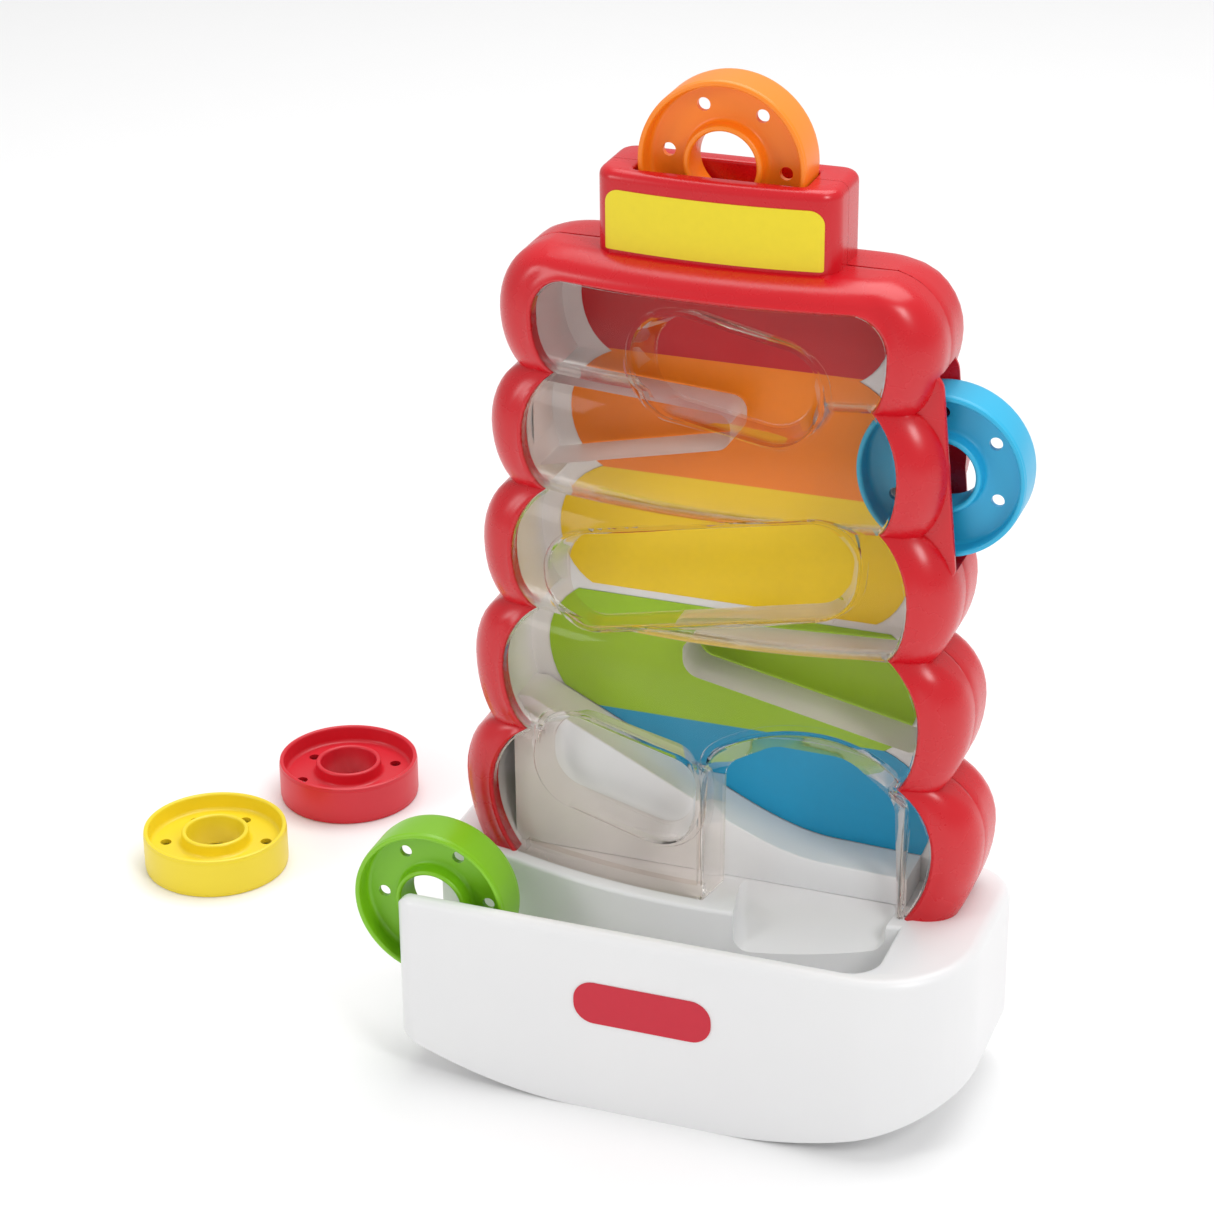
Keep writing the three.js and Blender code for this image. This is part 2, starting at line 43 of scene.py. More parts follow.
# ---- base shell ---------------------------------------------------------------------------------
# The rocker base: one white ABS moulding with a deck for the tower, a channel that the rings roll
# along behind the front wall, and a chute under the exit. Injection moulded, every rim well rounded.
MM = 0.001
SEAT = 88  # height of the deck
LEFT, RIGHT, FRONT, BACK = -124.5, 124.5, -76, 37
CORNERS = [10, 45, 22, 12]  # front left, front right, back right, back left
RIM = 5  # rounding of the outer rims
WALL_END = 10  # rounding of the front wall's open end
ROCKER_CENTRE, ROCKER_FLAT, ROCKER_RADIUS = -8, 30, 190
CHANNEL_FRONT = FRONT + 7
CHANNEL_END = 88
CHANNEL_FLOOR = (44, 58)  # at the open left end, and at the closed right end
PLINTH_FRONT, BOW = -41, 580  # the tower's front and the plinth share one bow
CHUTE_LEFT, CHUTE_RIGHT, CHUTE_REAR = 12, 84, -11.4
BASE_WALL = 3


def rounded_outline(points, radii, steps=8):
    """The points of a polygon whose corners are turned to arcs."""
    if not isinstance(radii, (list, tuple)):
        radii = [radii] * len(points)
    outline = []
    for i, (point, radius) in enumerate(zip(points, radii)):
        corner = Vector(point)
        before = (Vector(points[i - 1]) - corner).normalized()
        after = (Vector(points[(i + 1) % len(points)]) - corner).normalized()
        half_angle = before.angle(after) / 2
        centre = corner + (before + after).normalized() * (radius / math.sin(half_angle))
        start = corner + before * (radius / math.tan(half_angle)) - centre
        end = corner + after * (radius / math.tan(half_angle)) - centre
        turn = math.atan2(start.cross(end), start.dot(end))
        for step in range(steps + 1):
            outline.append(tuple(centre + Matrix.Rotation(turn * step / steps, 2) @ start))
    return outline


def loft(loops):
    """A closed solid through loops of points, with a face on the first and the last."""
    bm = bmesh.new()
    rings = []
    for loop in loops:
        verts = [bm.verts.new(point) for point in loop]
        rings.append([bm.edges.new((verts[i - 1], verts[i])) for i in range(len(verts))])
    for lower, upper in zip(rings, rings[1:]):
        bmesh.ops.bridge_loops(bm, edges=lower + upper)
    for ring in (rings[0], rings[-1]):
        bmesh.ops.contextual_create(bm, geom=ring)
    bmesh.ops.recalc_face_normals(bm, faces=bm.faces)
    return bm


def slab(outline, y0, y1):
    """An outline of x and z, made solid from y0 to y1."""
    return loft([[(x, y0, z) for x, z in outline], [(x, y1, z) for x, z in outline]])


def prism(outline, z0, z1):
    """An outline of x and y, made solid from z0 to z1."""
    return loft([[(x, y, z0) for x, y in outline], [(x, y, z1) for x, y in outline]])


def block(x0, x1, y0, y1, z0, z1):
    bm = bmesh.new()
    bmesh.ops.create_cube(bm, size=1)
    bmesh.ops.scale(bm, vec=(x1 - x0, y1 - y0, z1 - z0), verts=bm.verts)
    bmesh.ops.translate(bm, vec=((x0 + x1) / 2, (y0 + y1) / 2, (z0 + z1) / 2), verts=bm.verts)
    return bm


def rod(x, z, radius, y0, y1, sides=32):
    """A round bar along Y."""
    bm = bmesh.new()
    bmesh.ops.create_cone(bm, cap_ends=True, segments=sides, radius1=radius, radius2=radius, depth=y1 - y0)
    bmesh.ops.rotate(bm, matrix=Matrix.Rotation(math.pi / 2, 3, "X"), verts=bm.verts)
    bmesh.ops.translate(bm, vec=(x, (y0 + y1) / 2, z), verts=bm.verts)
    return bm


def round_edges(bm, offset, segments, wanted):
    """Bevels the edges that wanted() picks."""
    edges = [edge for edge in bm.edges if wanted(edge)]
    bmesh.ops.bevel(bm, geom=edges, offset=offset, segments=segments, profile=0.5, affect="EDGES", material=-1,
                    clamp_overlap=True)


def at_height(z):
    return lambda edge: all(abs(vert.co.z - z) < 0.01 for vert in edge.verts)


def temporary(bm):
    mesh = bpy.data.meshes.new("work")
    bm.to_mesh(mesh)
    bm.free()
    piece = bpy.data.objects.new("work", mesh)
    scene.collection.objects.link(piece)
    return piece


def combined(kind, bm, others):
    """A solid with others joined on (UNION), cut away (DIFFERENCE) or kept as the overlap (INTERSECT)."""
    host = temporary(bm)
    tools = [temporary(other) for other in others]
    for tool in tools:
        modifier = host.modifiers.new("combine", "BOOLEAN")
        modifier.operation = kind
        modifier.solver = "MANIFOLD"
        modifier.object = tool
    mesh = bpy.data.meshes.new_from_object(host.evaluated_get(bpy.context.evaluated_depsgraph_get()))
    result = bmesh.new()
    result.from_mesh(mesh)
    bpy.data.meshes.remove(mesh)
    for piece in [host, *tools]:
        data = piece.data
        bpy.data.objects.remove(piece)
        bpy.data.meshes.remove(data)
    return result


def finish_piece(bm, name, material, body, replaced=(), sharp=32):
    """The finished object in metres, with smooth faces up to a sharp angle."""
    bmesh.ops.remove_doubles(bm, verts=bm.verts, dist=0.002)
    bmesh.ops.scale(bm, vec=(MM, MM, MM), verts=bm.verts)
    for face in bm.faces:
        face.smooth = True
    for edge in bm.edges:
        edge.smooth = not edge.is_manifold or edge.calc_face_angle(0) < math.radians(sharp)
    mesh = bpy.data.meshes.new(name)
    bm.to_mesh(mesh)
    bm.free()
    mesh.materials.append(material)
    piece = bpy.data.objects.new(name, mesh)
    scene.collection.objects.link(piece)
    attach(piece, body)
    if replaced:
        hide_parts(*replaced)
    return piece


def linear(code):
    """A colour for a shader socket, from an sRGB hex value."""
    channels = [int(code[i:i + 2], 16) / 255 for i in (0, 2, 4)]
    return (*[c / 12.92 if c <= 0.04045 else ((c + 0.055) / 1.055) ** 2.4 for c in channels], 1)


def add_node(tree, kind, settings=None, links=None):
    """A new node, with its settings, socket values and incoming links."""
    node = tree.nodes.new(kind)
    for key, value in (settings or {}).items():
        if isinstance(key, str) and hasattr(node, key):
            setattr(node, key, value)
        else:
            node.inputs[key].default_value = value
    for key, source in (links or {}).items():
        tree.links.new(source, node.inputs[key])
    return node


def moulded_plastic(name, lit, deep, roughness=0.3):
    """Injection moulded ABS: even colour with faint flow marks, a polished face with a slight orange peel."""
    material = bpy.data.materials.new(name)
    material.use_nodes = True
    tree = material.node_tree
    tree.nodes.clear()
    place = add_node(tree, "ShaderNodeTexCoord")
    flow = add_node(tree, "ShaderNodeTexNoise", {"Scale": 14, "Detail": 2, "Roughness": 0.4},
                    {"Vector": place.outputs["Object"]})
    tint = add_node(tree, "ShaderNodeMix", {"data_type": "RGBA"}, {"Factor": flow.outputs["Fac"]})
    tint.inputs[6].default_value = linear(lit)
    tint.inputs[7].default_value = linear(deep)
    scuffs = add_node(tree, "ShaderNodeTexNoise", {"Scale": 90, "Detail": 4},
                      {"Vector": place.outputs["Object"]})
    polish = add_node(tree, "ShaderNodeMapRange", {"To Min": roughness - 0.04, "To Max": roughness + 0.05},
                      {"Value": scuffs.outputs["Fac"]})
    # orange peel about 1.4 mm across, drawn larger than the real one so that it shows
    peel = add_node(tree, "ShaderNodeTexNoise", {"Scale": 700, "Detail": 1},
                    {"Vector": place.outputs["Object"]})
    relief = add_node(tree, "ShaderNodeBump", {"Strength": 0.02, "Distance": 0.0004},
                      {"Height": peel.outputs["Fac"]})
    shader = add_node(tree, "ShaderNodeBsdfPrincipled", {"IOR": 1.54},
                      {"Base Color": tint.outputs[2], "Roughness": polish.outputs["Result"],
                       "Normal": relief.outputs["Normal"]})
    add_node(tree, "ShaderNodeOutputMaterial", links={"Surface": shader.outputs["BSDF"]})
    return material


def base_outline(inset):
    corners = [(LEFT + inset, FRONT + inset), (RIGHT - inset, FRONT + inset),
               (RIGHT - inset, BACK - inset), (LEFT + inset, BACK - inset)]
    return rounded_outline(corners, [radius - inset for radius in CORNERS], 14)


def rocker_height(x, rise=0):
    away = max(0, abs(x - ROCKER_CENTRE) - ROCKER_FLAT)
    return rise + away ** 2 / (2 * ROCKER_RADIUS)


def below_rocker(rise):
    """Everything under the rocker's curve."""
    steps = 40
    reach = 150
    curve = [-reach + 2 * reach * i / steps for i in range(steps + 1)]
    return slab([(x, rocker_height(x, rise)) for x in curve] + [(reach, -60), (-reach, -60)], -200, 200)


def channel_outline(grow):
    """The channel's plan: straight along the front wall, round at its end, bowed along the plinth."""
    front = CHANNEL_FRONT - grow
    end = CHANNEL_END + grow
    round_end = 14
    outline = [(LEFT - 40, front)]
    for step in range(9):
        a = math.pi / 2 * step / 8
        outline.append((end - round_end + round_end * math.sin(a), front + round_end - round_end * math.cos(a)))
    steps = 30
    for step in range(steps + 1):
        x = end + (LEFT - 40 - end) * step / steps
        outline.append((x, PLINTH_FRONT + grow + min(x ** 2, 12000) / BOW))
    return outline


def channel_floor(x):
    low, high = CHANNEL_FLOOR
    return low + (high - low) * (x - LEFT) / (CHANNEL_END - LEFT)


def channel_space(grow=0, flare=2, fillet=4):
    """The channel as a solid, with a filleted floor and a rim that opens out."""
    quarter = [math.pi / 2 * i / 4 for i in range(5)]
    loops = []
    for a in quarter:
        inset = fillet * (1 - math.sin(a))
        loops.append([(x, y, channel_floor(x) - grow + fillet * (1 - math.cos(a)))
                      for x, y in channel_outline(grow - inset)])
    for a in quarter:
        loops.append([(x, y, SEAT - flare + flare * math.sin(a) + 0.01)
                      for x, y in channel_outline(grow + flare * (1 - math.cos(a)))])
    loops.append([(x, y, SEAT + 20) for x, y in channel_outline(grow + flare)])
    return loft(loops)


def chute_space(grow=0):
    """The chute as a solid: it slopes down to the channel, between sides that lean in."""
    profile = [(CHUTE_REAR + grow, SEAT + 30), (CHUTE_REAR + grow, SEAT - grow), (-46, 66 - grow),
               (CHANNEL_FRONT - grow, CHANNEL_FLOOR[1] - grow), (CHANNEL_FRONT - grow, SEAT + 30)]
    left = [(CHUTE_LEFT - grow + 0.45 * max(0, SEAT - z), y, z) for y, z in profile]
    right = [(CHUTE_RIGHT + grow - 0.2 * max(0, SEAT - z), y, z) for y, z in profile]
    bm = loft([left, right])
    if not grow:
        round_edges(bm, 5, 6, lambda e: abs(e.verts[0].co.x - e.verts[1].co.x) < 25
                    and max(v.co.z for v in e.verts) < SEAT + 1)
    return bm


white_abs = moulded_plastic("white moulded ABS", "ececec", "e6e6e7", 0.33)

body = prism(base_outline(0), -2, SEAT)
round_edges(body, RIM, 6, at_height(SEAT))
wall_end = combined("DIFFERENCE", block(LEFT - 1, LEFT + WALL_END, FRONT - 5, CHANNEL_FRONT + 1,
                                        SEAT - WALL_END, SEAT + 1),
                    [rod(LEFT + WALL_END, SEAT - WALL_END, WALL_END, FRONT - 9, CHANNEL_FRONT + 5, 64)])
body = combined("DIFFERENCE", body, [below_rocker(0), wall_end])
cavity = combined("DIFFERENCE", prism(base_outline(BASE_WALL), -60, SEAT - BASE_WALL),
                  [channel_space(BASE_WALL, 0.5), chute_space(BASE_WALL)])
body = combined("DIFFERENCE", body, [cavity, channel_space(), chute_space()])
base_shell = finish_piece(body, "rocker_base_shell", white_abs, "tower_and_base",
                          ["base_shell"])

# ---- tower front shell --------------------------------------------------------------------------
# The front half of the tower, moulded in red ABS: five puffy lobes that frame the window, under half
# of the cap. It meets the back half at a seam half way through the tower and is screwed from behind.
GAP = 0.3
WALL = 2.5
SHOULDER = 369
CAP_TOP = 403
TOP_ROUND = 8  # rounding of the tower's top edges
CORNER_X = 16
WINDOW_TOP, WINDOW_ROUND = 358, 16
# one row a lobe from the bottom up: widest height, half width there, groove above it, half width
# there, and the window's half widths at the same two heights
LOBES = [
    (120, 116.5, 148.6, 99.5, 98.5, 82.3),
    (179, 110, 207.3, 94, 91.5, 76.8),
    (234.6, 104, 262.8, 88.5, 85.5, 71.6),
    (289, 99, 315.2, 84, 79.8, 67.2),
    (340, 94, SHOULDER, 71, 74.5, 60),
]
SEAT_HALF, WINDOW_SEAT_HALF = 108, 88


def circle_height(t):
    return math.sqrt(max(0, 1 - t * t))


def section(z):
    """Half width, window half width and puff (0 in a groove, 1 at a lobe's widest) at a height."""
    z = min(max(z, SEAT), SHOULDER)
    index = next(i for i, lobe in enumerate(LOBES) if z <= lobe[2])
    mid, half, groove, groove_half, window, window_groove = LOBES[index]
    low, low_half, low_window = SEAT, SEAT_HALF, WINDOW_SEAT_HALF
    if index:
        low, low_half, low_window = LOBES[index - 1][2], LOBES[index - 1][3], LOBES[index - 1][5]
    upper = z > mid
    end = 0.92 if index or upper else 0.55
    if upper and index == len(LOBES) - 1:
        end = 0.99
    end_z, end_half, end_window = (groove, groove_half, window_groove) if upper else (low, low_half, low_window)
    k = end * abs(z - mid) / abs(end_z - mid)
    fullness = (circle_height(k) - circle_height(end)) / (1 - circle_height(end))
    puff = fullness if index or upper else 0.5 + 0.5 * fullness
    return end_half + (half - end_half) * fullness, end_window + (window - end_window) * fullness, puff


def top_drop(z):
    """How far the rounded top edge draws a face in."""
    t = (z - SHOULDER + TOP_ROUND) / TOP_ROUND
    return TOP_ROUND * (1 - circle_height(min(t, 1))) if t > 0 else 0


def depth_with_corner(x, half, flat, corner_y):
    inner = half - CORNER_X
    if abs(x) <= inner:
        return flat(x)
    corner_y = min(corner_y, flat(inner) - 2)
    return flat(inner) - corner_y * (1 - circle_height(min(1, (abs(x) - inner) / CORNER_X)))


def front_depth(x, z):
    """How far the tower's front stands before the seam."""
    half, window, puff = section(z)
    width = min(window, 84)
    return depth_with_corner(x, half, lambda at: 20 + 6.5 * puff + (width ** 2 - at ** 2) / BOW,
                             6.4 + 13.6 * puff) - top_drop(z)


def back_depth(x, z):
    half, _, puff = section(z)
    return depth_with_corner(x, half, lambda at: 25 + 6 * puff, 14) - top_drop(z)


def lobe_heights(steps, last=SHOULDER):
    """Heights up the tower, close together in the grooves."""
    heights = [SEAT]
    low = SEAT
    for index, (mid, _, groove, *_) in enumerate(LOBES):
        for start, end in ((low, mid), (mid, groove)):
            for step in range(1, steps + 1):
                t = step / steps
                share = math.sin(t * math.pi / 2) if end == groove else 1 - math.cos(t * math.pi / 2)
                heights.append(start + (end - start) * share)
        low = groove
    return [z for z in heights if z <= last]


def surface(rows, columns, place):
    """A sheet of rows by columns, each point put at place(row, column)."""
    bm = bmesh.new()
    bmesh.ops.create_grid(bm, x_segments=rows - 1, y_segments=columns - 1, size=0.5)
    for vert in bm.verts:
        row = round((vert.co.x + 0.5) * (rows - 1))
        column = round((vert.co.y + 0.5) * (columns - 1))
        vert.co = place(row, column)
    bmesh.ops.remove_doubles(bm, verts=bm.verts, dist=0.02)
    return bm


def thicken(bm, thickness, outwards):
    """A closed solid from a sheet, its wall laid behind the side that looks outwards."""
    bmesh.ops.recalc_face_normals(bm, faces=bm.faces)
    squarest = max(bm.faces, key=lambda face: abs(face.normal.dot(Vector(outwards))))
    if squarest.normal.dot(Vector(outwards)) < 0:
        bmesh.ops.reverse_faces(bm, faces=bm.faces)
    bm.normal_update()
    behind = {vert: vert.co - vert.normal * thickness for vert in bm.verts}
    bmesh.ops.extrude_face_region(bm, geom=bm.faces[:], use_keep_orig=True)
    for vert, place in behind.items():
        vert.co = place
    bmesh.ops.recalc_face_normals(bm, faces=bm.faces)
    return bm


# rails of the front shell: pairs of a point on the window's edge and a point on the outer edge
side_rails = [((section(z)[1], z), (section(z)[0], z)) for z in lobe_heights(9, LOBES[-1][0])]
turn_steps = 12
for step in range(1, turn_steps + 1):
    a = math.pi / 2 * step / turn_steps
    z = LOBES[-1][0] + (SHOULDER - LOBES[-1][0]) * math.sin(a)
    side_rails.append((
        (LOBES[-1][4] - WINDOW_ROUND + WINDOW_ROUND * math.cos(a),
         WINDOW_TOP - WINDOW_ROUND * (1 - math.sin(a))),
        (section(z)[0], z)))
top_steps = 10
for step in range(1, top_steps + 1):
    keep = 1 - step / top_steps
    side_rails.append((((LOBES[-1][4] - WINDOW_ROUND) * keep, WINDOW_TOP), (LOBES[-1][3] * keep, SHOULDER)))
rails = side_rails + [((-w[0], w[1]), (-s[0], s[1])) for w, s in side_rails[-2::-1]]
EDGE_ROUND = 1.6  # rounding along the window
profile = [("return", depth) for depth in (7, 4, EDGE_ROUND)]
profile += [("roll", math.pi / 2 * i / 4) for i in range(1, 5)]
profile += [("puff", math.pi / 2 * i / 14) for i in range(1, 15)]
profile += [("flank", share) for share in (0.75, 0.5, 0.25, 0.06)]
profile += [("seam", 0)]


def front_shell_point(row, column):
    window, outer = (Vector(point) for point in rails[row])
    across = outer - window
    reach = across.length
    kind, value = profile[column]
    if kind == "return":
        return (window.x, -(front_depth(*window) - value), window.y)
    if kind == "roll":
        at = window + across.normalized() * EDGE_ROUND * (1 - math.cos(value))
        return (at.x, -(front_depth(*window) - EDGE_ROUND * (1 - math.sin(value))), at.y)
    if kind == "puff":
        start = EDGE_ROUND / reach
        at = window + across * (start + (1 - start) * math.sin(value))
        return (at.x, -front_depth(*at), at.y)
    if kind == "flank":
        return (outer.x, -(GAP + (front_depth(*outer) - GAP) * value), outer.y)
    at = outer - across.normalized() * 0.5
    return (at.x, -GAP / 2, at.y)


CAP_HALF, CAP_FRONT, CAP_BACK, CAP_BOW, CAP_CORNER, CAP_RIM = 50.5, 15, 21, 4.5, 8, 4
SLOT_HALF, TRACK = 36, 11
SIDE_BOTTOM, SIDE_TOP, SIDE_OUTER_TOP, SIDE_OUTER_BOTTOM = 247, 331.6, 94, 102.5
CHEEK, CHEEK_INNER, SLOT_INNER = 2.2, 81, 60


def cap_outline(grow=0):
    corners = [(-CAP_HALF - grow, -CAP_FRONT - grow), (CAP_HALF + grow, -CAP_FRONT - grow),
               (CAP_HALF + grow, CAP_BACK + grow), (-CAP_HALF - grow, CAP_BACK + grow)]
    outline = []
    for x, y in rounded_outline(corners, CAP_CORNER, 8):
        outline.append((x, y))
        if abs(y + CAP_FRONT + grow) < 0.01 and x < 0:
            steps = 16
            for step in range(1, steps):
                outline.append((x * (1 - 2 * step / steps), y))
    flat = CAP_HALF + grow
    return [(x, y - CAP_BOW * max(0, 1 - (x / flat) ** 2) if y < 0 else y) for x, y in outline]


def make_cap():
    bm = prism(cap_outline(), SHOULDER - 5, CAP_TOP)
    round_edges(bm, CAP_RIM, 6, at_height(CAP_TOP))
    slot = block(-SLOT_HALF, SLOT_HALF, -TRACK, TRACK, SHOULDER - 8, CAP_TOP + 8)
    round_edges(slot, 3, 4, lambda e: abs(e.verts[0].co.z - e.verts[1].co.z) > 1)
    lip = 1.3
    flare = [[(x * (SLOT_HALF + grow) / SLOT_HALF, y * (TRACK + grow) / TRACK, z)
              for x, y in rounded_outline([(-36, -11), (36, -11), (36, 11), (-36, 11)], 3, 4)]
             for grow, z in [(0, CAP_TOP - lip - 1)]
             + [(lip * (1 - math.cos(a)), CAP_TOP - lip + lip * math.sin(a))
                for a in (0, math.pi / 8, math.pi / 4, 3 * math.pi / 8, math.pi / 2)] + [(lip, CAP_TOP + 3)]]
    return combined("DIFFERENCE", bm, [slot, loft(flare)])


def side_outline(inner, grow, reach):
    return [(inner, SIDE_BOTTOM - grow), (SIDE_OUTER_BOTTOM + reach, SIDE_BOTTOM - grow),
            (SIDE_OUTER_TOP + reach, SIDE_TOP + grow), (inner, SIDE_TOP + grow)]


def cheeks():
    radii = [1, 4, 9, 1]
    bm = slab(rounded_outline(side_outline(CHEEK_INNER, 2.2, 0), radii, 6), -TRACK - CHEEK, TRACK + CHEEK)
    round_edges(bm, 1, 3, lambda e: abs(e.verts[0].co.y - e.verts[1].co.y) < 0.1)
    return bm


def side_opening():
    return slab(rounded_outline(side_outline(SLOT_INNER, 0, 20), [1, 6, 8, 1], 5), -TRACK, TRACK)


def with_slots(shell, front):
    """The cap and cheeks joined to half a shell, and both ring slots cut through it."""
    half = (-300, 300, -300, -GAP / 2, 0, 600) if front else (-300, 300, GAP / 2, 300, 0, 600)
    extras = [combined("INTERSECT", make_cap(), [block(*half)]),
              combined("INTERSECT", cheeks(), [block(*half)])]
    shell = combined("UNION", shell, extras)
    return combined("DIFFERENCE", shell, [
        side_opening(), block(-SLOT_HALF, SLOT_HALF, -TRACK, TRACK, SHOULDER - 12, SHOULDER + 4)])


red_abs = moulded_plastic("red moulded ABS", "d00d1e", "c80919", 0.27)

front_wall = thicken(surface(len(rails), len(profile), front_shell_point), WALL, (0, -1, 0))
front_shell = finish_piece(with_slots(front_wall, True), "tower_front_shell", red_abs, "tower_and_base",
                           ["front_shell"])

# ---- tower back shell ---------------------------------------------------------------------------
# The other half of the tower, moulded in the same red ABS. It runs from seam to seam round the back
# and closes over the top, with six bosses inside for the screws that hold the two halves together.
back_heights = lobe_heights(9)
top_rows = [0.7, 0.35, 0]
corner_steps, face_steps = 12, 10
around = [("seam", 0)] + [("flank", share) for share in (0.1, 0.4, 0.7)]
around += [("corner", math.pi / 2 * i / corner_steps) for i in range(corner_steps, 0, -1)]
around += [("face", 1 - i / face_steps) for i in range(face_steps + 1)]
around += [(kind, value) for kind, value in around[-2::-1]]


def back_shell_point(row, column):
    z = back_heights[min(row, len(back_heights) - 1)]
    keep = 1 if row < len(back_heights) else top_rows[row - len(back_heights)]
    half = section(z)[0]
    kind, value = around[column]
    side = 1 if column < len(around) / 2 else -1
    inner = half - CORNER_X
    if kind == "seam":
        x, y = half - (0.5 if z < SHOULDER else 0), GAP / 2
    elif kind == "flank":
        x, y = half, GAP + (back_depth(half, z) - GAP) * value
    elif kind == "corner":
        x = inner + CORNER_X * math.sin(value)
        y = back_depth(x, z)
    else:
        x = inner * value
        y = back_depth(x, z)
    return (side * x, GAP / 2 + (y - GAP / 2) * keep, z)


back_wall = thicken(surface(len(back_heights) + len(top_rows), len(around), back_shell_point), WALL, (0, 1, 0))
SCREW_PLACES = [(side * (LOBES[i][1] - 11.5), LOBES[i][0] + (2 if i == 4 else 0))
                for i in (0, 2, 4) for side in (-1, 1)]
BOSS_R, HEAD_R, SHANK_R, SCREW_SEAT = 4.5, 3.6, 1.8, 7
back_wall = combined("UNION", back_wall, [rod(x, z, BOSS_R, 0.5, 20) for x, z in SCREW_PLACES])
back_wall = with_slots(back_wall, False)
back_wall = combined("DIFFERENCE", back_wall, [rod(x, z, HEAD_R, SCREW_SEAT, 60) for x, z in SCREW_PLACES]
                     + [rod(x, z, SHANK_R, -5, 60) for x, z in SCREW_PLACES])
back_shell = finish_piece(back_wall, "tower_back_shell", red_abs, "tower_and_base",
                          ["back_shell"])

# ---- back panel ---------------------------------------------------------------------------------
# The white tray that backs the rings' track: a flat sheet with side walls that follow the lobes.
# Moulded in ABS and held between the two shells.
PANEL_FRONT, PANEL_THICKNESS = 12, 2
TRAY_GAP = 1.2


def panel_point(row, column):
    z = panel_heights[row]
    half = section(z)[1] + TRAY_GAP
    across = [("wall", -16), ("wall", 0), ("wall", 9), ("curve", 11.2)]
    across += [("flat", 1 - i / 8) for i in range(9)]
    across += [(kind, value) for kind, value in across[-2::-1]]
    kind, value = across[column]
    side = 1 if column < len(across) / 2 else -1
    if kind == "flat":
        return (side * (half - 3) * value, PANEL_FRONT, z)
    if kind == "curve":
        return (side * (half - 0.8), value, z)
    return (side * half, value, z)


panel_heights = [z for z in lobe_heights(6) if z < WINDOW_TOP] + [WINDOW_TOP + 2]
panel_heights[0] = SEAT + GAP
tray = surface(len(panel_heights), 25, panel_point)
tray = thicken(tray, PANEL_THICKNESS, (0, -1, 0))
tray = combined("DIFFERENCE", tray, [
    block(55, 120, -40, PANEL_FRONT - 0.6, SIDE_BOTTOM - 2.5, SIDE_TOP + 2.5)])
back_panel = finish_piece(tray, "track_back_panel", white_abs, "tower_and_base",
                          ["back_panel"])

# ---- upper label --------------------------------------------------------------------------------
# A paper sticker on the back panel in yellow, orange and red bands, scalloped at its ends like the
# tower. Printed flat and film laminated, so it is smooth with a soft shine.
LABEL_BACK, LABEL_THICKNESS = 11.8, 0.3


def printed_paper(name, bands, low, high):
    """bands: the height at which each colour starts, from the bottom up."""
    material = bpy.data.materials.new(name)
    material.use_nodes = True
    tree = material.node_tree
    tree.nodes.clear()
    place = add_node(tree, "ShaderNodeTexCoord")
    parts = add_node(tree, "ShaderNodeSeparateXYZ", links={"Vector": place.outputs["Object"]})
    share = add_node(tree, "ShaderNodeMapRange", {"From Min": low * MM, "From Max": high * MM},
                     {"Value": parts.outputs["Z"]})
    ramp = add_node(tree, "ShaderNodeValToRGB", links={"Fac": share.outputs["Result"]})
    ramp.color_ramp.interpolation = "CONSTANT"
    for i, (start, code) in enumerate(bands):
        stops = ramp.color_ramp.elements
        stop = stops[0] if i == 0 else stops.new((start - low) / (high - low))
        stop.color = linear(code)
    ramp.color_ramp.elements[0].position = 0
    ramp.color_ramp.elements.remove(ramp.color_ramp.elements[-1])
    grain = add_node(tree, "ShaderNodeTexNoise", {"Scale": 260, "Detail": 3},
                     {"Vector": place.outputs["Object"]})
    tone = add_node(tree, "ShaderNodeMapRange", {"To Min": 0.96, "To Max": 1.03},
                    {"Value": grain.outputs["Fac"]})
    ink = add_node(tree, "ShaderNodeHueSaturation", links={"Color": ramp.outputs["Color"],
                                                           "Value": tone.outputs["Result"]})
    shader = add_node(tree, "ShaderNodeBsdfPrincipled", {"Roughness": 0.34, "IOR": 1.5},
                      {"Base Color": ink.outputs["Color"]})
    add_node(tree, "ShaderNodeOutputMaterial", links={"Surface": shader.outputs["BSDF"]})
    return material


def label_sheet(low, high):
    heights = [low] + [z for z in lobe_heights(8) if low + 0.5 < z < high - 0.5] + [high]

    def place(row, column):
        z = heights[row]
        _, window, puff = section(z)
        half = window - 14 + 6 * puff
        return (half * (2 * column / 12 - 1), LABEL_BACK - LABEL_THICKNESS, z)

    return thicken(surface(len(heights), 13, place), LABEL_THICKNESS, (0, -1, 0))


upper_print = printed_paper("upper label print", [(207, "f4cf05"), (262.4, "f58405"), (316, "c60a1a")],
                            207, 360)
upper_label = finish_piece(label_sheet(207.5, 350), "upper_band_label", upper_print, "tower_and_base",
                           ["upper_label"])

# ---- lower label --------------------------------------------------------------------------------
# The second sticker, in blue and green bands, from the same sheet of laminated paper. It is cut away
# at the bottom along the exit slide's curve.
SLIDE_BROW, SLIDE_BEND, SLIDE_FOOT = (0, 118), (28, 103.5), (46, 102.5)
SLIDE = [(-92, 160), (-84, 160), SLIDE_BROW]
curve_steps = 14
for step in range(1, curve_steps + 1):
    t = step / curve_steps
    SLIDE.append(tuple((1 - t) ** 2 * brow + 2 * t * (1 - t) * bend + t * t * foot
                       for brow, bend, foot in zip(SLIDE_BROW, SLIDE_BEND, SLIDE_FOOT)))
SLIDE += [(86, 101), (86, SEAT + GAP), (-92, SEAT + GAP)]
lower_print = printed_paper("lower label print", [(90, "149bca"), (148.4, "9dc916")], 90, 210)
lower_sheet = combined("DIFFERENCE", label_sheet(SEAT + 10, 203.8), [
    slab(SLIDE, 0, 40), block(-150, -84, 0, 40, 0, 160)])
lower_label = finish_piece(lower_sheet, "lower_band_label", lower_print, "tower_and_base",
                           ["lower_label"])

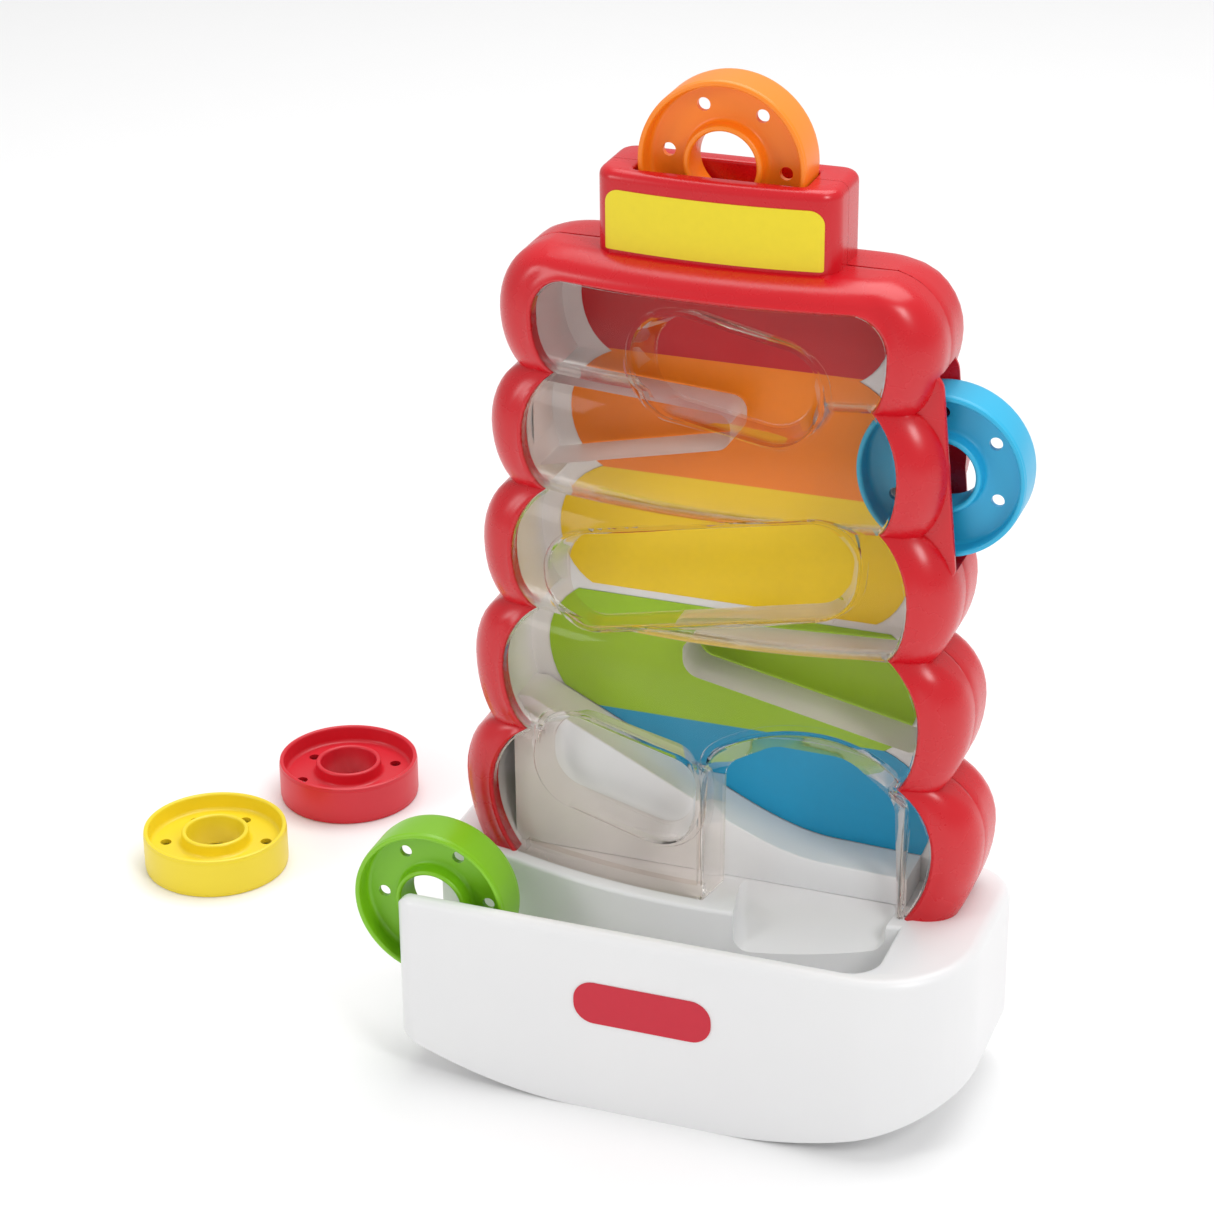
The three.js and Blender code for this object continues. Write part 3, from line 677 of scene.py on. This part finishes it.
# ---- upper ramp ---------------------------------------------------------------------------------
# A loop of white ABS wall with a round nose, between the back panel and the window. It hands a ring
# from the top slot over to the right-hand shaft.
def ramp_loop(points, radii):
    outer = rounded_outline(points, radii, 8)
    bm = bmesh.new()
    face = bm.faces.new([bm.verts.new((x, -TRACK, z)) for x, z in outer])
    bmesh.ops.inset_individual(bm, faces=[face], thickness=WALL, use_even_offset=True)
    bmesh.ops.delete(bm, geom=[face], context="FACES_ONLY")
    grown = bmesh.ops.extrude_face_region(bm, geom=bm.faces[:])
    moved = [item for item in grown["geom"] if isinstance(item, bmesh.types.BMVert)]
    bmesh.ops.translate(bm, vec=(0, 2 * TRACK - GAP, 0), verts=moved)
    bmesh.ops.recalc_face_normals(bm, faces=bm.faces)
    round_edges(bm, 0.6, 3, lambda e: e.calc_face_angle(0) > 1 and abs(e.verts[0].co.y - e.verts[1].co.y) < 0.1)
    return bm


upper_ramp = finish_piece(ramp_loop([(-80, 308.3), (6, 302.7), (6, 288), (-80, 269)], [3, 6.5, 6.8, 3]),
                          "upper_ramp_loop", white_abs, "tower_and_base", ["upper_ramp"])

# ---- lower ramp ---------------------------------------------------------------------------------
# The same form of white ABS loop from the other side, one level down. It hands the ring over to the
# left-hand shaft.
lower_ramp = finish_piece(ramp_loop([(88, 203), (-14.5, 197.5), (-14.5, 183), (88, 161.5)], [3, 4, 8, 3]),
                          "lower_ramp_loop", white_abs, "tower_and_base", ["lower_ramp"])

# ---- exit slide ---------------------------------------------------------------------------------
# A white ABS block, hollow from behind, that fills the tower's foot. Its top curves down from the
# left-hand wall and turns the ring out through the exit arch.
slide = slab(SLIDE, -TRACK, TRACK - GAP)
round_edges(slide, 0.8, 3, lambda e: all(abs(v.co.y + TRACK) < 0.01 and v.co.z > SEAT + 5 for v in e.verts))
pocket = combined("INTERSECT", slab([(x, z - WALL) for x, z in SLIDE], -TRACK + WALL, 30),
                  [block(-88, 83, -50, 50, 0, 200)])
slide = combined("DIFFERENCE", slide, [pocket])
exit_slide = finish_piece(slide, "exit_slide_block", white_abs, "tower_and_base",
                          ["exit_slide"])

# ---- window -------------------------------------------------------------------------------------
# The clear front in five lobes, with three finger holes that run back as tubs, and the exit arch.
# Moulded in one piece in clear styrene, 2 mm thick, so its rims catch the light as bright lines.
SKIN, SETBACK = 2, 0.8
TUB_END = 16
# each hole: corners and radii on the window's face, then at the inner rim
FINGER_HOLES = [
    ([(-28, 357), (49, 339.5), (48.5, 299), (-28.5, 312)], [20, 18, 18, 20],
     [(-23.5, 351), (43, 336), (42.5, 301), (-23.5, 313)], [16, 16, 16, 16]),
    ([(-67.5, 247), (66, 273), (65, 231), (-65.5, 203)], [20, 18, 18, 19],
     [(-63, 243.5), (60, 264.5), (59.5, 230), (-62, 204.5)], [15, 15, 15, 15]),
    ([(-74.5, 170), (-1, 152), (0, 110), (-75, 125)], [20, 12, 18, 19],
     [(-71, 163), (-8, 148), (-8, 109.5), (-71, 126.5)], [16, 10, 12, 16]),
]
ARCH = ([(3, 76), (3, 158), (30, 175), (66, 173), (87, 152), (86, 76)], [1, 22, 58, 44, 29, 1],
        [(6, 76), (7, 146), (28, 158), (60, 157.5), (81, 141), (84, 76)], [1, 10, 18, 20, 14, 1])
COLLAR = 5  # how far the flange round a hole spreads over the window's face


def on_window(x, z, down=0, smooth=0):
    """A point on the window's face, kept inside its edge; smooth bridges the grooves like a lobe's crest."""
    limit = section(z)[1] - 2.2
    x = max(-limit, min(limit, x))
    face = front_depth(x, min(z, WINDOW_TOP - 2)) - SETBACK
    crest = 25.7 + (74 ** 2 - x ** 2) / BOW
    return Vector((x, -(face + (max(crest, face) - face) * smooth - down), z))


def grown_outline(outline, grow):
    centre = sum((Vector(p) for p in outline), Vector((0, 0))) / len(outline)
    return [tuple(Vector(p) + (Vector(p) - centre).normalized() * grow) for p in outline]


def tub(outer_points, outer_radii, inner_points, inner_radii):
    """The funnel wall of a hole: it rolls off the window's face and runs back to the inner rim."""
    steps = 10
    outer = rounded_outline(outer_points, outer_radii, steps)
    inner = rounded_outline(inner_points, inner_radii, steps)
    loops = []
    for grow, down, smooth in ((COLLAR, 1, 0), (COLLAR - 1, 0.3, 0.3), (2.6, 0, 0.9), (1.4, 0, 1),
                               (0.5, 0.3, 1), (0, 1.3, 1)):
        loops.append([on_window(x, z, down, smooth) for x, z in grown_outline(outer, grow)])
    for share in (0.25, 0.5, 0.75, 1):
        loops.append([on_window(*o, 1.3, 1).lerp(Vector((i[0], -TUB_END, i[1])), share)
                      for o, i in zip(outer, inner)])
    bm = bmesh.new()
    rings = []
    for loop in loops:
        verts = [bm.verts.new(point) for point in loop]
        rings.append([bm.edges.new((verts[i - 1], verts[i])) for i in range(len(verts))])
    for lower, upper in zip(rings, rings[1:]):
        bmesh.ops.bridge_loops(bm, edges=lower + upper)
    return thicken(bm, 1.8, (0, -1, 0))


def window_point(row, column):
    z = window_heights[row]
    half, window, _ = section(z)
    if z > WINDOW_TOP - WINDOW_ROUND:
        rise = (z - WINDOW_TOP + WINDOW_ROUND) / WINDOW_ROUND
        window = LOBES[-1][4] - WINDOW_ROUND + WINDOW_ROUND * circle_height(min(1, rise))
    x = (window - 0.4) * math.sin(math.pi / 2 * (2 * column / (window_columns - 1) - 1))
    return (x, -(front_depth(x, z) - SETBACK), z)


window_columns = 61
window_heights = [z for z in lobe_heights(9) if z < WINDOW_TOP - WINDOW_ROUND]
window_heights += [WINDOW_TOP - WINDOW_ROUND + (WINDOW_ROUND - 0.4) * math.sin(math.pi / 2 * i / 10)
                   for i in range(11)]
window_heights[0] = SEAT + GAP
pane = thicken(surface(len(window_heights), window_columns, window_point), SKIN, (0, -1, 0))
holes = [slab(grown_outline(rounded_outline(outer, radii, 10), 1), -80, 0)
         for outer, radii, _, _ in FINGER_HOLES]
arch_cut = slab([(min(x, section(z)[1] - 2.2), z) for x, z in rounded_outline(ARCH[0], ARCH[1], 10)], -80, 0)
pane = combined("DIFFERENCE", pane, [*holes, arch_cut])
lip = surface(3, 41, lambda row, column: (
    -84 + 86 * column / 40, -(front_depth(-84 + 86 * column / 40, SEAT + 3 * row) - SETBACK),
    SEAT + GAP + 2.8 * row))
lip = thicken(lip, 5, (0, -1, 0))
pane = combined("UNION", pane, [lip, *[tub(*shape) for shape in [*FINGER_HOLES, ARCH]]])
pane = combined("DIFFERENCE", pane, [block(-200, 200, -200, 50, 0, SEAT + GAP)])


def clear_styrene():
    """Clear crystal styrene, glossy as the polished mould, with the faintest waviness of its flow."""
    material = bpy.data.materials.new("clear crystal styrene")
    material.use_nodes = True
    tree = material.node_tree
    tree.nodes.clear()
    place = add_node(tree, "ShaderNodeTexCoord")
    flow = add_node(tree, "ShaderNodeTexNoise", {"Scale": 45, "Detail": 1}, {"Vector": place.outputs["Object"]})
    relief = add_node(tree, "ShaderNodeBump", {"Strength": 0.12, "Distance": 0.0006},
                      {"Height": flow.outputs["Fac"]})
    polish = add_node(tree, "ShaderNodeMapRange", {"To Min": 0.02, "To Max": 0.06},
                      {"Value": flow.outputs["Fac"]})
    through = add_node(tree, "ShaderNodeBsdfTransparent", {"Color": linear("fbf8f6")})
    # looked at squarely the thin wall hides nothing, and edge on it bends the light into bright and dark lines
    turn = add_node(tree, "ShaderNodeLayerWeight", {"Blend": 0.5}, {"Normal": relief.outputs["Normal"]})
    edge_on = add_node(tree, "ShaderNodeMapRange",
                       {"From Min": 0.4, "From Max": 0.65, "To Min": 0, "To Max": 1},
                       {"Value": turn.outputs["Facing"]})
    bent = add_node(tree, "ShaderNodeBsdfPrincipled",
                    {"Base Color": linear("fffdfb"), "IOR": 1.49, "Transmission Weight": 1},
                    {"Roughness": polish.outputs["Result"], "Normal": relief.outputs["Normal"]})
    wall = add_node(tree, "ShaderNodeMixShader", links={"Fac": edge_on.outputs["Result"],
                                                        1: through.outputs["BSDF"], 2: bent.outputs["BSDF"]})
    glance = add_node(tree, "ShaderNodeMath", {"operation": "POWER", 1: 4}, {0: turn.outputs["Facing"]})
    shine = add_node(tree, "ShaderNodeMapRange", {"To Min": 0.006, "To Max": 0.8},
                     {"Value": glance.outputs["Value"]})
    mirror = add_node(tree, "ShaderNodeBsdfGlossy", {"Color": linear("ffffff"), "Roughness": 0.04},
                      {"Normal": relief.outputs["Normal"]})
    whole = add_node(tree, "ShaderNodeMixShader", links={"Fac": shine.outputs["Result"],
                                                         1: wall.outputs["Shader"], 2: mirror.outputs["BSDF"]})
    add_node(tree, "ShaderNodeOutputMaterial", links={"Surface": whole.outputs["Shader"]})
    return material


front_window = finish_piece(pane, "clear_front_window", clear_styrene(), "tower_and_base",
                            ["front_window"])

# ---- cap label ----------------------------------------------------------------------------------
# A plain yellow paper sticker, laminated like the others, laid round the bowed front of the cap.
# Its upper corners are rounded and its lower ones square.
def plain_sticker(name, code):
    return printed_paper(name, [(0, code)], 0, 500)


STICKER_HALF, STICKER_LOW, STICKER_HIGH = 45.5, 370.5, 395.5
cap_sticker = slab(rounded_outline([(-STICKER_HALF, STICKER_LOW), (STICKER_HALF, STICKER_LOW),
                                    (STICKER_HALF, STICKER_HIGH), (-STICKER_HALF, STICKER_HIGH)],
                                   [0.8, 0.8, 6, 6], 8), -40, -8)
cap_skin = combined("DIFFERENCE", prism(cap_outline(0.35), SHOULDER, CAP_TOP),
                    [prism(cap_outline(0.05), SHOULDER - 5, CAP_TOP + 5)])
cap_sticker = combined("INTERSECT", cap_skin, [cap_sticker])
cap_label = finish_piece(cap_sticker, "cap_yellow_label", plain_sticker("yellow sticker", "edd81c"),
                         "tower_and_base", ["cap_label"])

# ---- base badge ---------------------------------------------------------------------------------
# A plain red patch with round ends, a laminated sticker pressed on the front wall of the base.
BADGE_LEFT, BADGE_RIGHT, BADGE_LOW, BADGE_HIGH = -41, 20.5, 44, 64
badge = slab(rounded_outline([(BADGE_LEFT, BADGE_LOW), (BADGE_RIGHT, BADGE_LOW),
                              (BADGE_RIGHT, BADGE_HIGH), (BADGE_LEFT, BADGE_HIGH)], 9, 10),
             FRONT - 0.5, FRONT - 0.02)
base_badge = finish_piece(badge, "base_round_badge", plain_sticker("red sticker", "c8102e"),
                          "tower_and_base", ["base_badge"])

# ---- rings --------------------------------------------------------------------------------------
# Five rings moulded in polypropylene, one colour each: a rim, a thin web with six holes, and a hub.
# They are loose. One waits in the top slot, one in the side slot, one in the channel, two on the floor.
RING_R, RING_HALF, BORE, HUB, WEB_HALF, RIM_WALL = 35, 10, 14, 16.6, 1.2, 2.5
WEB_HOLE_R, WEB_HOLE_CIRCLE = 2.75, 24.5


def ring_profile():
    """Half of a ring's section, from its bore to its rim: radius and height."""
    hub_top = RING_HALF - 1.8
    soft = 1.25
    fillet = 2.2
    inner_rim = RING_R - RIM_WALL

    def arc(cx, cy, radius, start, end, steps=5):
        return [(cx + radius * math.cos(math.radians(start + (end - start) * i / steps)),
                 cy + radius * math.sin(math.radians(start + (end - start) * i / steps)))
                for i in range(steps + 1)]

    upper = [(BORE, 0)] + arc(BORE + soft, hub_top - soft, soft, 180, 0, 8)
    upper += arc(HUB + fillet, WEB_HALF + fillet, fillet, 180, 270)
    upper += arc(inner_rim - fillet, WEB_HALF + fillet, fillet, 270, 360)
    upper += arc(RING_R - RIM_WALL / 2, RING_HALF - RIM_WALL / 2, RIM_WALL / 2, 180, 45, 6)
    upper += arc(RING_R - 2.4, RING_HALF - 2.6, 2.4, 30, 0, 3)
    return upper


def make_ring_form(turn):
    upper = ring_profile()
    outline = upper + [(r, -h) for r, h in upper[::-1] if h > 0.001]
    bm = bmesh.new()
    verts = [bm.verts.new((r, h, 0)) for r, h in outline]
    edges = [bm.edges.new((verts[i - 1], verts[i])) for i in range(len(verts))]
    bmesh.ops.spin(bm, geom=verts + edges, cent=(0, 0, 0), axis=(0, 1, 0), angle=2 * math.pi, steps=96,
                   use_merge=True)
    bmesh.ops.remove_doubles(bm, verts=bm.verts, dist=0.001)
    bmesh.ops.recalc_face_normals(bm, faces=bm.faces)
    drills = []
    for i in range(6):
        a = turn + i * math.pi / 3
        drills.append(rod(WEB_HOLE_CIRCLE * math.cos(a), WEB_HOLE_CIRCLE * math.sin(a), WEB_HOLE_R, -5, 5, 28))
    return combined("DIFFERENCE", bm, drills)


# colour, turn in degrees, centre, whether it lies flat, and the two shades of its plastic
RINGS = [
    ("orange", -6, (0.8, 0, 406.7), False, "ff8f1e", "f58310"),
    ("blue", 34, (93.6, 0, 287.6), False, "2fb7e2", "25aad6"),
    ("green", 3.5, (-111.2, -56.5, 80.2), False, "86c71b", "7cbd14"),
    ("yellow", 40, (-281, 62, RING_HALF), True, "f2d92a", "ead122"),
    ("red", 20, (-249, 149, RING_HALF), True, "dd2233", "d51c2c"),
]
for name, turn, place, lying, lit, deep in RINGS:
    form = make_ring_form(math.radians(turn))
    if lying:
        bmesh.ops.rotate(form, matrix=Matrix.Rotation(math.pi / 2, 3, "X"), verts=form.verts)
    bmesh.ops.translate(form, vec=place, verts=form.verts)
    finish_piece(form, f"{name}_roller_ring", moulded_plastic(f"{name} moulded polypropylene", lit, deep, 0.36),
                 f"ring_{name}", [f"{name}_ring"])

# ---- shell screws -------------------------------------------------------------------------------
# Six zinc plated steel screws with pan heads, sunk in the back shell's bosses and driven into the
# front shell. The heads are rolled and the cross slots struck, so the plating is even and dull.
steel = bpy.data.materials.new("zinc plated steel")
steel.use_nodes = True
steel_tree = steel.node_tree
steel_tree.nodes.clear()
steel_place = add_node(steel_tree, "ShaderNodeTexCoord")
plating = add_node(steel_tree, "ShaderNodeTexNoise", {"Scale": 900, "Detail": 3},
                   {"Vector": steel_place.outputs["Object"]})
steel_polish = add_node(steel_tree, "ShaderNodeMapRange", {"To Min": 0.25, "To Max": 0.4},
                        {"Value": plating.outputs["Fac"]})
steel_shader = add_node(steel_tree, "ShaderNodeBsdfPrincipled", {"Base Color": linear("c4c6c8"), "Metallic": 1},
                        {"Roughness": steel_polish.outputs["Result"]})
add_node(steel_tree, "ShaderNodeOutputMaterial", links={"Surface": steel_shader.outputs["BSDF"]})


def screw_form(length):
    """A pan head screw, head up, its seat at z = 0."""
    bm = bmesh.new()
    half = [(0, 2), (1.6, 1.85), (2.6, 1.2), (3, 0.4), (3, 0), (1.5, 0), (1.5, 1 - length), (0, -length)]
    verts = [bm.verts.new((r, 0, z)) for r, z in half]
    edges = [bm.edges.new(pair) for pair in zip(verts, verts[1:])]
    bmesh.ops.spin(bm, geom=verts + edges, cent=(0, 0, 0), axis=(0, 0, 1), angle=2 * math.pi, steps=32,
                   use_merge=True)
    bmesh.ops.remove_doubles(bm, verts=bm.verts, dist=0.001)
    bmesh.ops.recalc_face_normals(bm, faces=bm.faces)
    return combined("DIFFERENCE", bm, [block(-1.7, 1.7, -0.35, 0.35, 0.9, 3),
                                       block(-0.35, 0.35, -1.7, 1.7, 0.9, 3)])


for i, (x, z) in enumerate(SCREW_PLACES):
    form = screw_form(13.5)
    bmesh.ops.rotate(form, matrix=Matrix.Rotation(-math.pi / 2, 3, "X") @ Matrix.Rotation(0.5 * i, 3, "Z"),
                     verts=form.verts)
    bmesh.ops.translate(form, vec=(x, SCREW_SEAT + 0.3, z), verts=form.verts)
    finish_piece(form, f"shell_pan_screw_{i + 1}", steel, "tower_and_base",
                 [f"shell_screw_{i + 1}"])

# ---- bottom plate and its screws ----------------------------------------------------------------
# A flat white ABS plate closes the base from below, held by four of the same screws. Both keep the
# plain shapes they came with and only take on their materials.
for node, material in [("base_bottom_plate", white_abs)] + [(f"base_screw_{i}", steel) for i in range(1, 5)]:
    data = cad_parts[node].data
    data.materials.clear()
    data.materials.append(material)

# ---- studio -------------------------------------------------------------------------------------
# A white floor that runs back out of sight, a pale sky all round, and soft boxes to the right and left.
floor_form = bmesh.new()
bmesh.ops.create_grid(floor_form, x_segments=1, y_segments=1, size=6)
floor_mesh = bpy.data.meshes.new("studio_floor")
floor_form.to_mesh(floor_mesh)
floor_form.free()
floor = bpy.data.objects.new("studio_floor", floor_mesh)
scene.collection.objects.link(floor)
paper = bpy.data.materials.new("white studio paper")
paper.use_nodes = True
paper_tree = paper.node_tree
paper_tree.nodes.clear()
paper_place = add_node(paper_tree, "ShaderNodeTexCoord")
paper_grain = add_node(paper_tree, "ShaderNodeTexNoise", {"Scale": 30, "Detail": 3},
                       {"Vector": paper_place.outputs["Object"]})
paper_tone = add_node(paper_tree, "ShaderNodeMapRange", {"To Min": 0.55, "To Max": 0.65},
                      {"Value": paper_grain.outputs["Fac"]})
paper_shader = add_node(paper_tree, "ShaderNodeBsdfPrincipled", {"Base Color": linear("f7f7f7")},
                        {"Roughness": paper_tone.outputs["Result"]})
add_node(paper_tree, "ShaderNodeOutputMaterial", links={"Surface": paper_shader.outputs["BSDF"]})
floor_mesh.materials.append(paper)

world = bpy.data.worlds.new("pale studio")
world.use_nodes = True
world.node_tree.nodes["Background"].inputs["Color"].default_value = linear("ffffff")
world.node_tree.nodes["Background"].inputs["Strength"].default_value = 0.55
scene.world = world


def soft_box(name, place, size, power):
    light = bpy.data.lights.new(name, "AREA")
    light.shape = "RECTANGLE"
    light.size, light.size_y = size
    light.energy = power
    lamp = bpy.data.objects.new(name, light)
    lamp.location = place
    aim = Vector((0, 0, 0.2)) - Vector(place)
    lamp.rotation_euler = aim.to_track_quat("-Z", "Y").to_euler()
    scene.collection.objects.link(lamp)


soft_box("key_box", (1.3, -0.9, 1.5), (0.5, 0.7), 11)
soft_box("fill_box", (-1.3, -1.2, 0.9), (0.5, 0.6), 5)
soft_box("top_box", (0.1, 0.7, 2.6), (2.6, 2.0), 52)

CAMERA_TURN, CAMERA_TILT, CAMERA_ROLL = (math.radians(angle) for angle in (20.5185, 25.7068, -0.6140))
away = Vector((math.sin(CAMERA_TURN) * math.cos(CAMERA_TILT), -math.cos(CAMERA_TURN) * math.cos(CAMERA_TILT),
               math.sin(CAMERA_TILT)))
level = Vector((math.cos(CAMERA_TURN), math.sin(CAMERA_TURN), 0))
upright = away.cross(level)
sideways = level * math.cos(CAMERA_ROLL) + upright * math.sin(CAMERA_ROLL)
above = upright * math.cos(CAMERA_ROLL) - level * math.sin(CAMERA_ROLL)
camera_data = bpy.data.cameras.new("studio_camera")
camera_data.sensor_width = 36
camera_data.lens = 98.4
camera = bpy.data.objects.new("studio_camera", camera_data)
stand = Matrix.Translation((0.39437, -1.19374, 0.81633))
camera.matrix_world = stand @ Matrix((sideways, above, away)).transposed().to_4x4()
scene.collection.objects.link(camera)
scene.camera = camera
scene.view_settings.view_transform = "Standard"
